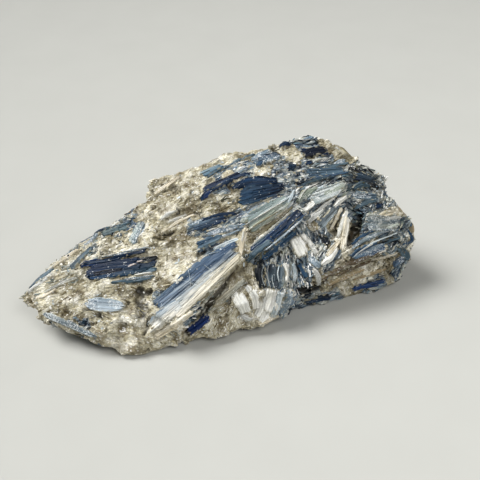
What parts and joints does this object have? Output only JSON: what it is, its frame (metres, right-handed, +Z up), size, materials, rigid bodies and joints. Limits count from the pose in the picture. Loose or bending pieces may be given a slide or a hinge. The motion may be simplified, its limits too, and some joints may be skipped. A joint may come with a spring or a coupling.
{
  "type": "kyanite blade cluster",
  "caption": "Natural mineral specimen: a rough cream and brown stone with flat blue kyanite blades grown in it.",
  "frame": {"origin": "middle of the specimen's box, on the surface that it lies on", "axes": "+X along the stone to its blunt end, +Y to its back, +Z up"},
  "size_m": [0.098, 0.0522, 0.0344],
  "materials": {
    "host_stone": "rough cream to brown quartz and mica schist, matte with glinting mica flakes",
    "blue_kyanite": "translucent blue kyanite with a pearly to vitreous cleavage face and fine striations",
    "navy_kyanite": "deep navy kyanite, vitreous, striated along its length",
    "slate_kyanite": "grey-blue kyanite, silky and striated",
    "pale_kyanite": "pale blue-white kyanite, pearly",
    "teal_kyanite": "blue-black kyanite with grey striations",
    "white_mica": "white to cream mica and quartz laths, pearly"
  },
  "bodies": {
    "root": {"host_stone": "host_stone", "long_blade": "blue_kyanite", "fan_blade": "pale_kyanite", "deep_blue_blade": "navy_kyanite", "silver_blade": "slate_kyanite", "crown_blade": "navy_kyanite", "dark_rim_blade": "navy_kyanite", "slate_blade": "slate_kyanite", "short_blade": "slate_kyanite", "left_dark_blade": "navy_kyanite", "pale_end": "pale_kyanite", "navy_prism": "navy_kyanite", "crack_lath": "slate_kyanite", "dark_block": "teal_kyanite", "white_blade": "white_mica", "white_lath": "white_mica", "pale_lath": "pale_kyanite", "ledge_blade": "blue_kyanite", "right_bundle": "slate_kyanite", "top_navy_blade": "navy_kyanite", "upper_slate_blade": "slate_kyanite", "upper_dark_blade": "navy_kyanite", "right_slate_blade": "slate_kyanite", "speckled_blade": "slate_kyanite", "cream_rib": "white_mica", "top_small_blade": "navy_kyanite", "right_end_blade": "slate_kyanite", "base_blade": "navy_kyanite", "dark_base_blade": "teal_kyanite", "left_top_blade": "teal_kyanite", "left_teal_blade": "teal_kyanite", "left_slate_blade": "slate_kyanite", "upper_blue_blade": "blue_kyanite", "upper_teal_blade": "teal_kyanite", "rim_blade": "slate_kyanite", "back_long_blade": "blue_kyanite", "back_navy_blade": "navy_kyanite", "back_left_blade": "blue_kyanite", "back_low_blade": "slate_kyanite", "back_pale_blade": "pale_kyanite", "back_end_blade": "navy_kyanite", "under_long_blade": "blue_kyanite", "under_small_blade": "navy_kyanite"}
  },
  "joints": []
}
